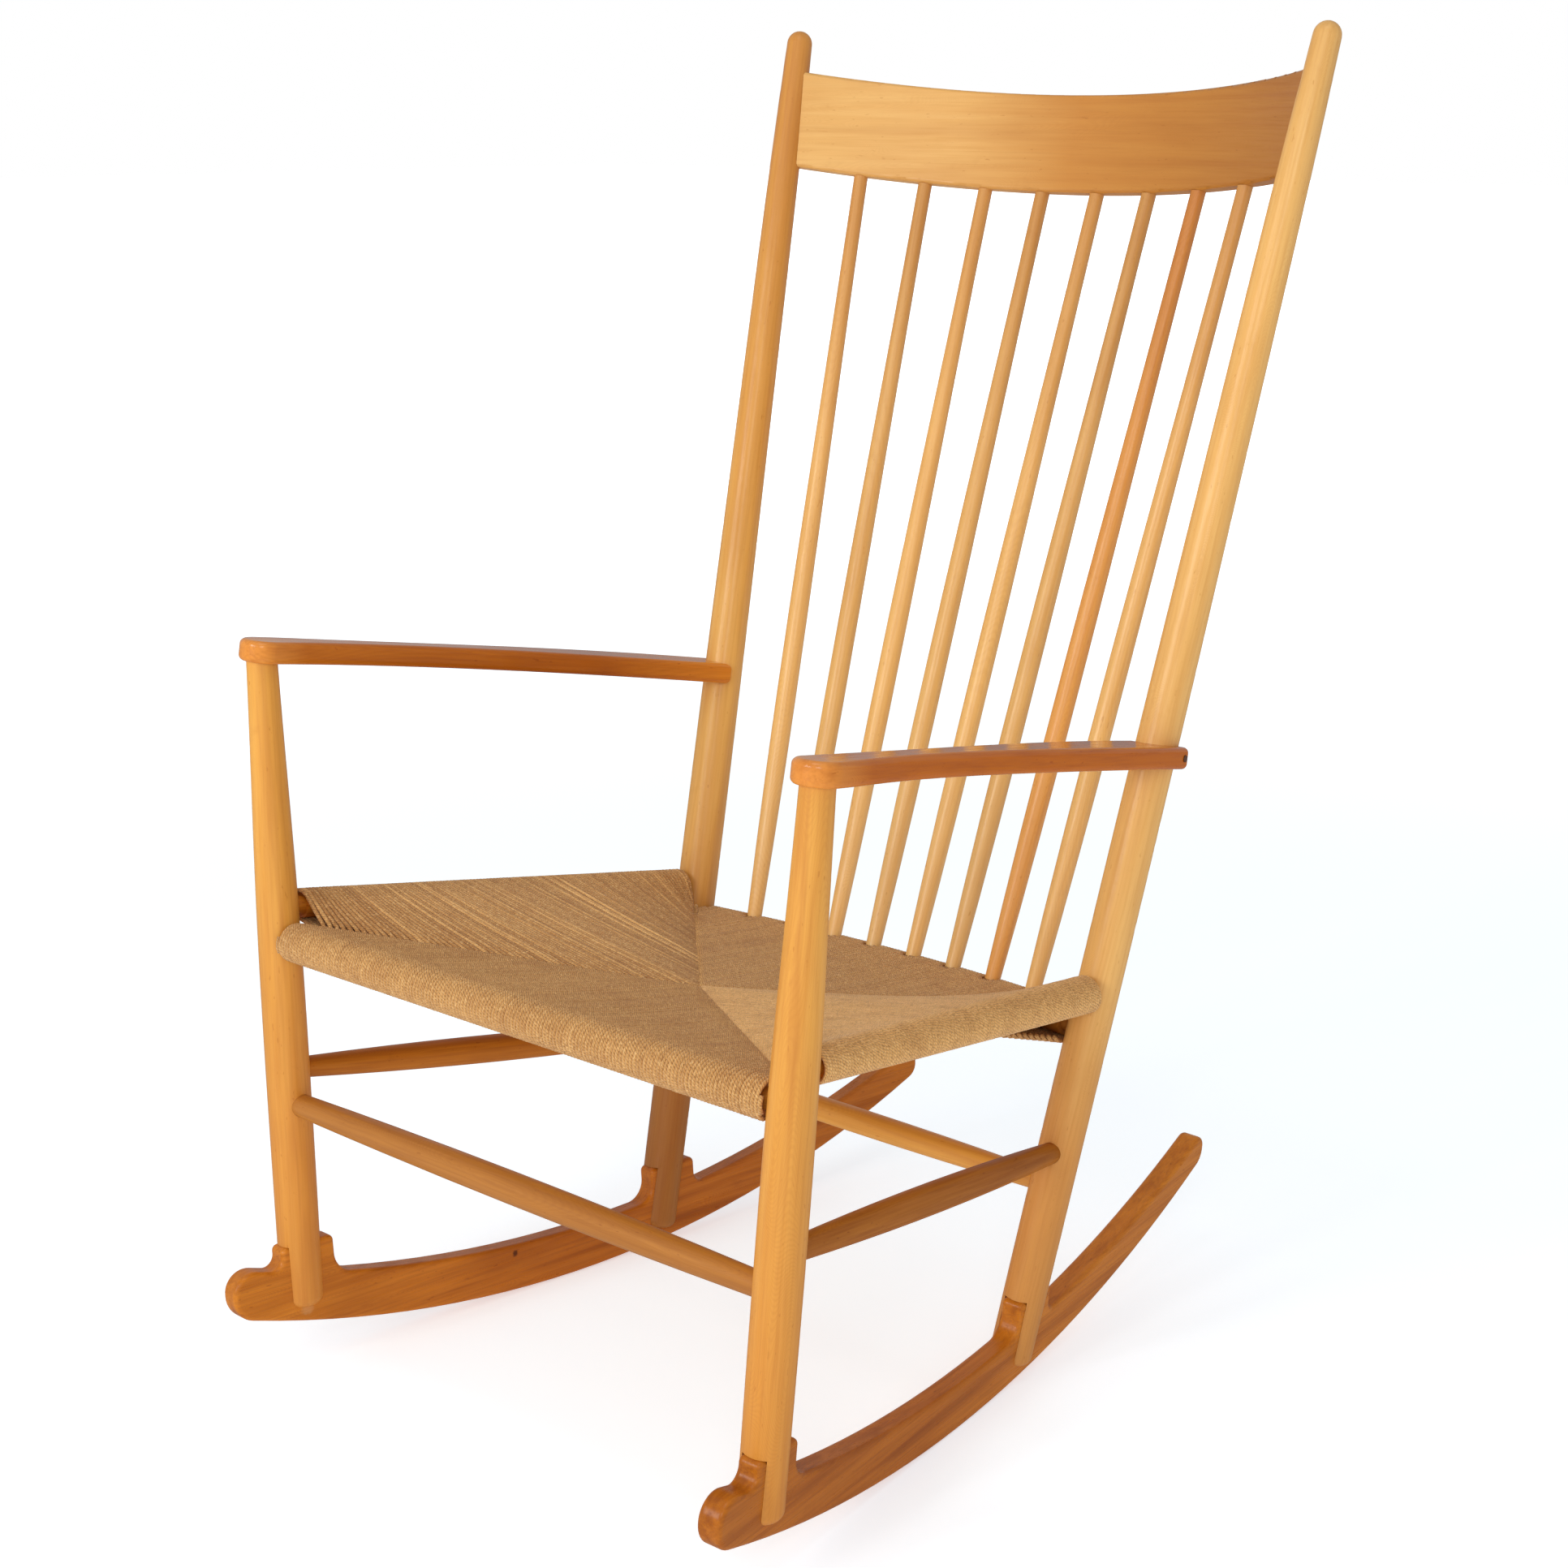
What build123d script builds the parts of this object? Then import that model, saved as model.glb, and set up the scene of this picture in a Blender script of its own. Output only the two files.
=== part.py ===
"""High-backed rocking chair with a woven cord seat, as the separate pieces it is joined from.

Frame: millimetres, +Z up. The sitter looks along -Y and has +X at the left hand. The origin
lies on the floor, in the mirror plane and under the middle of the chair's length. Heights are
above the floor, with the chair at rest. Each left piece is built and mirrored to make the right one.
"""

import os
from math import asin, degrees, radians, sin, cos, sqrt, tan

from build123d import *

os.makedirs("parts", exist_ok=True)

# Fits
tenon_clearance = 0.1  # around a tenon, at its end, and on each side of a rocker slot
cord_clearance = 0.4  # between the cord and any wood that only passes it
past_axis = 6  # how far a round tenon runs beyond the axis of the leg that holds it

# Front legs: axis at the floor, lean in degrees, and turned diameters with their heights
front_leg_stance = 250.9
front_leg_y = -322.5
front_leg_splay = 3.65
front_leg_rake = 1.92
front_leg_bottom = 51
front_leg_foot = 34.4
front_leg_belly = 35.5
front_leg_belly_height = 233
front_leg_knee = 33
front_leg_knee_height = 403
front_leg_waist = 28.2
front_leg_waist_height = 500
front_leg_neck = 24.2
arm_tenon = 16
arm_tenon_length = 13

# Back posts, from the rockers up past the crest
post_stance = 200.1
post_y = 38.3
post_splay = 3.77
post_lean = 14.63
post_bottom = 15
post_top = 1069
post_foot = 34.6
post_seat_diameter = 35.2
post_seat_height = 323
post_elbow_diameter = 33.8
post_elbow_height = 533
post_back_diameter = 30.2
post_back_height = 768
post_neck = 26.8
post_neck_height = 948
post_tip = 22.5
foot_rounding = 8

# Rockers: sawn boards, deepest at the nose and raised where the legs straddle them
rocker_rest_y = -45.2
rocker_nose = 343.5  # reach along the board ahead of the point of rest
rocker_tail = 415  # reach behind it
rocker_radius = 1059
rocker_thickness = 20
rocker_nose_depth = 42.5
rocker_middle_depth = 40.5
rocker_tail_depth = 29
rocker_edge_rounding = 4
rocker_joint_height = 63  # where the board crosses the axes of the legs
nose_top_rounding = 18
nose_bottom_rounding = 22
tail_top_rounding = 11
tail_bottom_rounding = 15
front_boss_height = 105
rear_boss_height = 72
boss_ahead = 21  # reach of a boss ahead of the axis of its leg
boss_behind = 28
boss_short_hollow = 9
boss_long_hollow = 24
boss_corner = 5

# Stretchers
front_stretcher_height = 224.6
front_stretcher_end = 19
front_stretcher_belly = 24.5
rear_stretcher_height = 162
rear_stretcher_end = 17
rear_stretcher_belly = 22
side_stretcher_front_height = 252
side_stretcher_rear_height = 190
side_stretcher_end = 17.5
side_stretcher_belly = 24

# Seat rails and the cord that is woven over them
cord_diameter = 3.3
rail_tenon = 16
rail_bare = 5  # bare tenon that shows next to a leg
front_rail_height = 361
front_rail_diameter = 25
rear_rail_height = 289
rear_rail_diameter = 24.5
rear_rail_bow = 15
side_rail_front_height = 387
side_rail_rear_height = 319
side_rail_front_diameter = 21
side_rail_rear_diameter = 25
seat_centre_y = -110
seat_centre_height = 333
seat_centre_thickness = 24

# Arms
arm_front_height = 583.5
arm_rear_height = 499.5
arm_thickness = 17.6
arm_arch = 2.5
arm_post_inset = 4.4  # the post stands this far inside the middle line of the arm
arm_bulb_radius = 18.5
arm_neck_behind = 62
arm_neck_half_width = 15
arm_middle_half_width = 16.6
arm_cheek = 10.6  # wood left outside the post
arm_cheek_behind = 10
arm_horn = 2.3  # how far the inner side of the arm passes the inner side of the post
arm_horn_ahead = 8  # the horn ends this far in front of the axis of the post
arm_corner = 6
arm_edge_rounding = 4.5
arm_dowel_diameter = 5.5
arm_dowel_depth = 22

# Crest rail
crest_end_height = 952
crest_bow = 76.6
crest_lean = 15.6
crest_depth = 84
crest_thickness = 14
crest_tenon_thickness = 10
crest_tenon_shoulder = 10
crest_tenon_past_axis = 3
crest_edge_rounding = 3

# Spindles: diameters with their places along the spindle, from the rear rail
spindle_count = 8
spindle_pitch_at_seat = 43.8
spindle_pitch_at_crest = 57.2
spindle_foot = 13
spindle_foot_tenon = 10
spindle_foot_gap = 0.6  # the flat shoulder clears the round rail
spindle_foot_tenon_length = 13
spindle_belly = 17.5
spindle_belly_place = 262
spindle_shoulder = 14.7
spindle_shoulder_place = 470
spindle_head = 12.4
spindle_head_tenon = 9
spindle_head_tenon_length = 14

up = Vector(0, 0, 1)
leg_radius = front_leg_belly / 2
post_radius = post_seat_diameter / 2


def on_leg(height):
    """Point on the axis of the left front leg."""
    x = front_leg_stance + height * tan(radians(front_leg_splay))
    return Vector(x, front_leg_y + height * tan(radians(front_leg_rake)), height)


def on_post(height):
    """Point on the axis of the left back post."""
    x = post_stance + height * tan(radians(post_splay))
    return Vector(x, post_y + height * tan(radians(post_lean)), height)


def mirrored(point):
    """The same point on the right of the chair."""
    return Vector(-point.X, point.Y, point.Z)


def leg_pair(height):
    """Points at one height on the axes of the two front legs."""
    return on_leg(height), mirrored(on_leg(height))


def post_pair(height):
    """Points at one height on the axes of the two back posts."""
    return on_post(height), mirrored(on_post(height))


def level_normal(direction):
    """Level direction square to a rearward one, pointing to the left of the chair."""
    return Vector(direction.Y, -direction.X, 0).normalized()


def save(part, name):
    """Label a finished piece and write it to its own file."""
    part.label = name
    export_step(part, f"parts/{name}.step")


def save_pair(part, name):
    """Write a left piece and its mirror image."""
    save(part, f"{name}_left")
    save(mirror(part, about=Plane.YZ), f"{name}_right")


def tenon_outline(shoulder, tenon, grow, place, tip):
    """Corners of half an outline, from the edge of a shoulder to the end of its tenon."""
    if tip == place:
        return [(0, place)]
    radius = tenon / 2 + grow
    step = [(radius, place)] if tenon < shoulder else []
    return [*step, (radius, tip), (0, tip)]


def turned(start, end, stations, tenon=0, tenon_lengths=(0, 0), dome=False, rounding=0, grow=0):
    """A turned member along the line from start to end.

    stations: (distance from start, diameter) from one shoulder to the other.
    tenon, tenon_lengths: diameter, and how far it runs beyond the start and beyond the end.
    dome: whether a round top follows the end. rounding: at the edge of the start.
    grow: extra radius all over, for the hole that clears the member.
    """
    along = (end - start).normalized()
    across = Vector(0, 1, 0) if abs(along.X) > abs(along.Y) else Vector(1, 0, 0)
    radial = along.cross(across).normalized()
    length = (end - start).length
    low = tenon_outline(stations[0][1], tenon, grow, 0, -tenon_lengths[0])
    high = tenon_outline(stations[-1][1], tenon, grow, length, length + tenon_lengths[1])
    with BuildPart() as member:
        with BuildSketch(Plane(origin=start, x_dir=radial, z_dir=radial.cross(along))) as half:
            with BuildLine():
                side = Spline(*[(diameter / 2 + grow, place) for place, diameter in stations])
                Polyline(side @ 0, *low)
                if dome:
                    tip_radius = stations[-1][1] / 2 + grow
                    CenterArc((0, length), tip_radius, 0, 90)
                    Line((0, length + tip_radius), low[-1])
                else:
                    Polyline(side @ 1, *high, low[-1])
            make_face()
            if rounding > 0:
                fillet(half.vertices().group_by(Axis.Y)[0].sort_by(Axis.X)[-1], rounding)
        revolve(axis=Axis(start, along))
    return member.part


def rod(start, end, diameter):
    """A plain round rod from start to end, for a tenon, a dowel or the hole of one."""
    with BuildPart() as plain:
        with BuildSketch(Plane(origin=start, z_dir=(end - start).normalized())):
            Circle(diameter / 2)
        extrude(amount=(end - start).length)
    return plain.part


def mortise(centre, towards, diameter):
    """The blind hole that a round tenon needs in a leg, drilled from the side it comes from."""
    along = (towards - centre).normalized()
    bottom = centre - along * (past_axis + tenon_clearance)
    mouth = centre + along * (front_leg_belly + post_seat_diameter) / 2
    return rod(bottom, mouth, diameter + 2 * tenon_clearance)


def bar(ends, radii, stations_of, tenon, bare=0, grow=0):
    """A turned bar between two leg axes, with a round tenon into each of the two legs."""
    along = (ends[1] - ends[0]).normalized()
    start = ends[0] + along * (radii[0] + bare)
    end = ends[1] - along * (radii[1] + bare)
    lengths = (radii[0] + bare + past_axis, radii[1] + bare + past_axis)
    return turned(start, end, stations_of((end - start).length), tenon, lengths, grow=grow)


def barrel(end_diameter, belly):
    """Stations of a stretcher, thickest in the middle."""
    return lambda length: [(0, end_diameter), (length / 2, belly), (length, end_diameter)]


def taper(front, rear):
    """Stations of an evenly tapered bar."""
    return lambda length: [(0, front), (length, rear)]


# ---- Plane of the left rocker --------------------------------------------------------------
# The board toes in with the line between the legs and leans out with both of them.
leg_crossing = on_leg(rocker_joint_height)
rearward = (on_post(rocker_joint_height) - leg_crossing).normalized()
outward = level_normal(rearward)
leg_lean = (on_leg(1) - on_leg(0)).dot(outward)
post_side_lean = (on_post(1) - on_post(0)).dot(outward)
board_up = (up + outward * (leg_lean + post_side_lean) / 2).normalized()
# The leaning board rests on its rounded inner edge, so its middle stays just off the floor.
rest_height = (rocker_thickness / 2 - rocker_edge_rounding) * board_up.dot(outward)
rest_height += rocker_edge_rounding * (1 - board_up.Z)
rest_point = leg_crossing + rearward * ((rocker_rest_y - leg_crossing.Y) / rearward.Y)
rest_point -= board_up * ((rest_point.Z - rest_height) / board_up.Z)
board = Plane(origin=rest_point, x_dir=rearward, z_dir=rearward.cross(board_up))
front_boss = board.to_local_coords(on_leg(front_boss_height))
rear_boss = board.to_local_coords(on_post(rear_boss_height))


def sole_height(place):
    """Height of the curved underside at a place along the board."""
    return rocker_radius - sqrt(rocker_radius**2 - place**2)


def round_corner(builder, corner, rounding):
    """Round the corner of the board's outline that is nearest to a place in its plane."""
    across = builder.edges().filter_by(Axis(rest_point, board.z_dir))
    corner = board.from_local_coords(Vector(*corner))
    fillet(across.sort_by_distance(corner)[0], rounding)


# ---- Rockers -------------------------------------------------------------------------------
nose_corner = (-rocker_nose, sole_height(rocker_nose) + rocker_nose_depth)
tail_corner = (rocker_tail, sole_height(rocker_tail) + rocker_tail_depth)
bosses = (
    (front_boss, boss_short_hollow, boss_long_hollow),
    (rear_boss, boss_long_hollow, boss_short_hollow),
)

with BuildPart() as rocker:
    with BuildSketch(board) as rocker_outline:
        with BuildLine():
            angles = [degrees(asin(reach / rocker_radius)) for reach in (rocker_nose, rocker_tail)]
            sole = CenterArc((0, rocker_radius), rocker_radius, 270 - angles[0], sum(angles))
            back = ThreePointArc(nose_corner, (0, rocker_middle_depth), tail_corner)
            Line(sole @ 0, back @ 0)
            Line(sole @ 1, back @ 1)
        make_face()
        for boss, *_ in bosses:
            drop = boss.Y - sole_height(boss.X) - rocker_middle_depth / 2
            with Locations((boss.X - boss_ahead, boss.Y)):
                Rectangle(boss_ahead + boss_behind, drop, align=(Align.MIN, Align.MAX))
    extrude(amount=rocker_thickness / 2, both=True)
    round_corner(rocker, sole @ 0, nose_bottom_rounding)
    round_corner(rocker, back @ 0, nose_top_rounding)
    round_corner(rocker, sole @ 1, tail_bottom_rounding)
    round_corner(rocker, back @ 1, tail_top_rounding)
    for boss, *hollows in bosses:
        for place, hollow in zip((boss.X - boss_ahead, boss.X + boss_behind), hollows):
            crossing = back.intersect(Axis((place, 0), (0, 1)))[0]
            rise = boss.Y - crossing.Y
            round_corner(rocker, (place, boss.Y), min(boss_corner, rise * 0.35))
            round_corner(rocker, (place, crossing.Y), min(hollow, rise * 0.6))
    fillet(rocker.faces().filter_by(Axis(rest_point, board.z_dir)).edges(), rocker_edge_rounding)
save_pair(rocker.part, "rocker")


def rocker_slot(boss):
    """The slot in the foot of a leg: it is open below and its roof sits on the boss."""
    width = 2 * (boss_ahead + boss_behind)
    with BuildPart() as slot:
        with BuildSketch(board):
            with Locations((boss.X, boss.Y + tenon_clearance)):
                Rectangle(width, 2 * boss.Y, align=(Align.CENTER, Align.MAX))
        extrude(amount=rocker_thickness / 2 + tenon_clearance, both=True)
    return slot.part


# ---- Crest rail ----------------------------------------------------------------------------
# It is bent about an axis that leans back, and ends in the mortises of the two posts.
crest_end = on_post(crest_end_height)
crest_axis = Vector(0, sin(radians(crest_lean)), cos(radians(crest_lean)))
crest_underside = Plane(origin=(0, crest_end.Y, crest_end.Z), x_dir=(1, 0, 0), z_dir=crest_axis)
crest_radius = (crest_end.X**2 + crest_bow**2) / (2 * crest_bow)


def crest_board(thickness, half_width, shoulder):
    """A length of the bent board that keeps a shoulder above and below."""
    middle = (0, crest_bow - crest_radius)
    half_angle = degrees(asin(half_width / crest_radius))
    arcs = (90 - half_angle, 2 * half_angle)
    with BuildPart() as bent:
        with BuildSketch(crest_underside.offset(shoulder)):
            with BuildLine():
                front = CenterArc(middle, crest_radius - thickness / 2, *arcs)
                rear = CenterArc(middle, crest_radius + thickness / 2, *arcs)
                Line(front @ 0, rear @ 0)
                Line(front @ 1, rear @ 1)
            make_face()
        extrude(amount=crest_depth - 2 * shoulder)
    return bent.part


def crest_point(x):
    """Point under the crest, in the middle of its thickness."""
    return crest_underside.from_local_coords(
        Vector(x, crest_bow - crest_radius + sqrt(crest_radius**2 - x**2), 0)
    )


# ---- Rear seat rail ------------------------------------------------------------------------
rear_rail_end = on_post(rear_rail_height)
rear_rail_radius = (rear_rail_end.X**2 + rear_rail_bow**2) / (2 * rear_rail_bow)
rear_rail_body = rear_rail_end.X - post_radius - rail_bare


def rear_rail_point(x):
    """Point on the axis of the bowed rear rail."""
    drop = rear_rail_radius - sqrt(rear_rail_radius**2 - x**2)
    return Vector(x, rear_rail_end.Y + rear_rail_bow - drop, rear_rail_height)


def rear_bar(half_width, diameter):
    """A round bar along the bow of the rear rail."""
    with BuildPart() as bowed:
        with BuildLine() as bow:
            ThreePointArc(*[rear_rail_point(x) for x in (-half_width, 0, half_width)])
        with BuildSketch(Plane(origin=bow.line @ 0, z_dir=bow.line % 0)):
            Circle(diameter / 2)
        sweep(path=bow.line)
    return bowed.part


# ---- Arms: the blank, before its joints are cut --------------------------------------------
arm_run = on_post(arm_rear_height) - on_leg(arm_front_height)
arm_run += level_normal(arm_run) * arm_post_inset
arm_length = arm_run.length
arm_outward = level_normal(arm_run)
arm_underside = Plane(
    origin=on_leg(arm_front_height), x_dir=arm_outward, z_dir=arm_outward.cross(arm_run)
)
arm_side = Plane(origin=arm_underside.origin, x_dir=arm_run, z_dir=arm_outward)
arm_arc_radius = (arm_length**2 / 4 + arm_arch**2) / (2 * arm_arch)
arm_rear = arm_length + arm_cheek_behind
post_elbow_radius = post_elbow_diameter / 2 + tenon_clearance
arm_outer = post_elbow_radius + arm_cheek - arm_post_inset
arm_inner = -post_elbow_radius - arm_horn - arm_post_inset
arm_horn_end = arm_length - arm_horn_ahead

with BuildPart() as arm_blank:
    with BuildSketch(arm_underside) as arm_plan:
        with BuildLine():
            middle, neck = arm_length / 2, arm_neck_behind
            Spline(
                (arm_bulb_radius, 0),
                (arm_neck_half_width, neck),
                (arm_middle_half_width, middle),
                (arm_outer, arm_length - arm_corner),
                tangents=((0, 1), (0, 1)),
            )
            Polyline(
                (arm_outer, arm_length - arm_corner),
                (arm_outer, arm_rear),
                (-arm_post_inset, arm_rear),
                (-arm_post_inset, arm_horn_end),
                (arm_inner, arm_horn_end),
            )
            Spline(
                (arm_inner, arm_horn_end),
                (-arm_middle_half_width, middle),
                (-arm_neck_half_width, neck),
                (-arm_bulb_radius, 0),
            )
            ThreePointArc((-arm_bulb_radius, 0), (0, -arm_bulb_radius), (arm_bulb_radius, 0))
        make_face()
        outer_corners = arm_plan.vertices().group_by(Axis.Y)[-1].sort_by(Axis.X)
        fillet(outer_corners[-1], arm_corner)
    extrude(amount=2 * arm_thickness, both=True)
    with BuildSketch(arm_side):
        with BuildLine():
            half_angle = degrees(asin(arm_length / arm_arc_radius))
            arcs = (90 - half_angle, 2 * half_angle)
            centre = (middle, arm_arch - arm_arc_radius)
            under = CenterArc(centre, arm_arc_radius, *arcs)
            over = CenterArc(centre, arm_arc_radius + arm_thickness, *arcs)
            Line(under @ 0, over @ 0)
            Line(under @ 1, over @ 1)
        make_face()
    extrude(amount=arm_length / 4, both=True, mode=Mode.INTERSECT)
    arm_faces = arm_blank.faces().sort_by(SortBy.AREA)[-2:]
    fillet(arm_faces.edges(), arm_edge_rounding)


# ---- Front legs ----------------------------------------------------------------------------
leg_axis = (on_leg(1) - on_leg(0)).normalized()
leg_foot = on_leg(front_leg_bottom)
arm_seat = on_leg(arm_front_height)


def leg_place(height):
    """Distance along the leg from its foot."""
    return (height - front_leg_bottom) / leg_axis.Z


def leg_turning(grow=0):
    """The whole turned leg, a little longer than to the underside of the arm."""
    head = arm_seat + leg_axis * arm_thickness / 2
    stations = (
        (0, front_leg_foot),
        (leg_place(front_leg_belly_height), front_leg_belly),
        (leg_place(front_leg_knee_height), front_leg_knee),
        (leg_place(front_leg_waist_height), front_leg_waist),
        ((head - leg_foot).length, front_leg_neck),
    )
    return turned(leg_foot, head, stations, rounding=foot_rounding, grow=grow)


front_leg_shape = leg_turning()
front_leg_slot = rocker_slot(front_boss)
arm_tenon_end = arm_seat + leg_axis * arm_tenon_length
leg_joints = (
    (*leg_pair(front_rail_height), rail_tenon),
    (on_leg(side_rail_front_height), on_post(side_rail_rear_height), rail_tenon),
    (*leg_pair(front_stretcher_height), front_stretcher_end),
    (on_leg(side_stretcher_front_height), on_post(side_stretcher_rear_height), side_stretcher_end),
)
leg_holes = [mortise(*joint) for joint in leg_joints]
arm_tenon_rod = rod(arm_seat - leg_axis, arm_tenon_end, arm_tenon)

with BuildPart() as leg_under_arm:
    add(front_leg_shape)
    add(arm_blank.part, mode=Mode.SUBTRACT)
with BuildPart() as front_leg:
    add(leg_under_arm.solids().sort_by(Axis.Z)[0])
    add(arm_tenon_rod)
    add(front_leg_slot, mode=Mode.SUBTRACT)
    for hole in leg_holes:
        add(hole, mode=Mode.SUBTRACT)
save_pair(front_leg.part, "front_leg")

# ---- Back posts ----------------------------------------------------------------------------
post_axis = (on_post(1) - on_post(0)).normalized()
post_foot_point = on_post(post_bottom)
post_head_point = on_post(post_top - post_tip / 2)


def post_place(height):
    """Distance along the post from its foot."""
    return (height - post_bottom) / post_axis.Z


def post_turning(grow=0):
    """The whole turned post with its rounded top."""
    stations = (
        (0, post_foot),
        (post_place(post_seat_height), post_seat_diameter),
        (post_place(post_elbow_height), post_elbow_diameter),
        (post_place(post_back_height), post_back_diameter),
        (post_place(post_neck_height), post_neck),
        ((post_head_point - post_foot_point).length, post_tip),
    )
    rounding = foot_rounding
    return turned(
        post_foot_point, post_head_point, stations, dome=True, rounding=rounding, grow=grow
    )


post_shape = post_turning()
post_close = post_turning(grow=tenon_clearance)
post_slot = rocker_slot(rear_boss)
elbow = on_post(arm_rear_height + arm_thickness / 2)
dowel_outer = elbow + arm_outward * (arm_outer + arm_post_inset)
dowel_inner = dowel_outer - arm_outward * arm_dowel_depth
post_joints = (
    (on_post(side_rail_rear_height), on_leg(side_rail_front_height), rail_tenon),
    (on_post(side_stretcher_rear_height), on_leg(side_stretcher_front_height), side_stretcher_end),
    (*post_pair(rear_stretcher_height), rear_stretcher_end),
)
post_holes = [mortise(*joint) for joint in post_joints]
rear_tenon_reach = rear_rail_end.X + past_axis
post_holes.append(
    rear_bar(rear_tenon_reach + tenon_clearance, rail_tenon + 2 * tenon_clearance)
)
crest_reach = crest_end.X + crest_tenon_past_axis
post_holes.append(
    crest_board(
        crest_tenon_thickness + 2 * tenon_clearance,
        crest_reach + tenon_clearance,
        crest_tenon_shoulder - tenon_clearance,
    )
)
dowel_hole = rod(
    dowel_inner - arm_outward * tenon_clearance,
    dowel_outer + arm_outward * arm_cheek,
    arm_dowel_diameter + 2 * tenon_clearance,
)

with BuildPart() as back_post:
    add(post_shape)
    add(post_slot, mode=Mode.SUBTRACT)
    for hole in (*post_holes, dowel_hole):
        add(hole, mode=Mode.SUBTRACT)
save_pair(back_post.part, "back_post")

# ---- Arms ----------------------------------------------------------------------------------
leg_head_hole = rod(
    arm_seat - leg_axis * arm_thickness,
    arm_tenon_end + leg_axis * tenon_clearance,
    arm_tenon + 2 * tenon_clearance,
)
with BuildPart() as arm:
    add(arm_blank.part)
    add(leg_head_hole, mode=Mode.SUBTRACT)
    # Round notch that fits the front and outer side of the post, open behind and inside
    with BuildSketch(Plane(origin=elbow, x_dir=arm_outward, z_dir=post_axis)):
        open_side = 2 * post_radius
        with Locations((post_elbow_radius, 0)):
            Rectangle(open_side + post_elbow_radius, open_side, align=(Align.MAX, Align.MIN))
    extrude(amount=2 * arm_thickness, both=True, mode=Mode.SUBTRACT)
    add(post_close, mode=Mode.SUBTRACT)
    add(dowel_hole, mode=Mode.SUBTRACT)
save_pair(arm.part, "arm")

arm_dowel = rod(dowel_inner, dowel_outer, arm_dowel_diameter)
save_pair(arm_dowel, "arm_dowel")

# ---- Stretchers ----------------------------------------------------------------------------
front_stretcher = bar(
    leg_pair(front_stretcher_height),
    (leg_radius, leg_radius),
    barrel(front_stretcher_end, front_stretcher_belly),
    front_stretcher_end,
)
save(front_stretcher, "stretcher_front")
rear_stretcher = bar(
    post_pair(rear_stretcher_height),
    (post_radius, post_radius),
    barrel(rear_stretcher_end, rear_stretcher_belly),
    rear_stretcher_end,
)
save(rear_stretcher, "stretcher_rear")
side_stretcher = bar(
    (on_leg(side_stretcher_front_height), on_post(side_stretcher_rear_height)),
    (leg_radius, post_radius),
    barrel(side_stretcher_end, side_stretcher_belly),
    side_stretcher_end,
)
save_pair(side_stretcher, "stretcher")


# ---- Seat rails and the rolls of cord round them -------------------------------------------
def front_rail_bar(extra=0, grow=0):
    """The front rail, or with an extra diameter the roll of cord round it."""
    diameter = front_rail_diameter + extra
    ends, radii = leg_pair(front_rail_height), (leg_radius, leg_radius)
    return bar(ends, radii, taper(diameter, diameter), rail_tenon, rail_bare, grow)


def side_rail_bar(extra=0, grow=0):
    """The left side rail, or with an extra diameter the roll of cord round it."""
    ends = (on_leg(side_rail_front_height), on_post(side_rail_rear_height))
    stations = taper(side_rail_front_diameter + extra, side_rail_rear_diameter + extra)
    return bar(ends, (leg_radius, post_radius), stations, rail_tenon, rail_bare, grow)


# ---- Spindles ------------------------------------------------------------------------------
rail_shoulder = rear_rail_diameter / 2 + spindle_foot_gap


def spindle_line(index):
    """Ends of the axis of one left spindle: in the rear rail and under the crest."""
    return (
        rear_rail_point((index + 0.5) * spindle_pitch_at_seat),
        crest_point((index + 0.5) * spindle_pitch_at_crest),
    )


def spindle_turning(index, grow=0):
    """The turned shaft of a spindle with its lower tenon, running just into the crest."""
    low, high = spindle_line(index)
    along = (high - low).normalized()
    start, end = low + along * rail_shoulder, high + along * spindle_head_tenon / 2
    stations = (
        (0, spindle_foot),
        (spindle_belly_place, spindle_belly),
        (spindle_shoulder_place, spindle_shoulder),
        ((end - start).length, spindle_head),
    )
    lengths = (spindle_foot_tenon_length, 0)
    return turned(start, end, stations, spindle_foot_tenon, lengths, grow=grow)


def spindle_tenons(index, clearance=0):
    """Rods that fill, or with a clearance cut, the holes at both ends of a spindle."""
    low, high = spindle_line(index)
    along = (high - low).normalized()
    depth = rail_shoulder - spindle_foot_tenon_length - clearance
    foot = rod(
        low + along * depth, low + along * 2 * rail_shoulder, spindle_foot_tenon + 2 * clearance
    )
    head = rod(
        high - along, high + along * (spindle_head_tenon_length + clearance),
        spindle_head_tenon + 2 * clearance,
    )
    return foot, head


half_of_spindles = range(spindle_count // 2)
shafts = [spindle_turning(index) for index in half_of_spindles]
tenon_rods = [spindle_tenons(index) for index in half_of_spindles]
tenon_holes = [spindle_tenons(index, tenon_clearance) for index in half_of_spindles]
for index, (shaft, (_, head)) in enumerate(zip(shafts, tenon_rods)):
    with BuildPart() as spindle:
        add(shaft)
        split(bisect_by=crest_underside, keep=Keep.BOTTOM)
        add(head)
    # Numbered from the right end of the back to the left end
    save(spindle.part, f"spindle_{spindle_count // 2 + 1 + index}")
    save(mirror(spindle.part, about=Plane.YZ), f"spindle_{spindle_count // 2 - index}")

# ---- Crest rail ----------------------------------------------------------------------------
crest_blank = crest_board(crest_thickness, crest_end.X, 0)
crest_tenons = crest_board(crest_tenon_thickness, crest_reach, crest_tenon_shoulder)
with BuildPart() as crest_rail:
    add(crest_blank)
    fillet(crest_rail.edges().filter_by(GeomType.CIRCLE), crest_edge_rounding)
    add((post_close, mirror(post_close, about=Plane.YZ)), mode=Mode.SUBTRACT)
    add(crest_tenons)
    for _, hole in tenon_holes:
        add((hole, mirror(hole, about=Plane.YZ)), mode=Mode.SUBTRACT)
save(crest_rail.part, "crest_rail")

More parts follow.
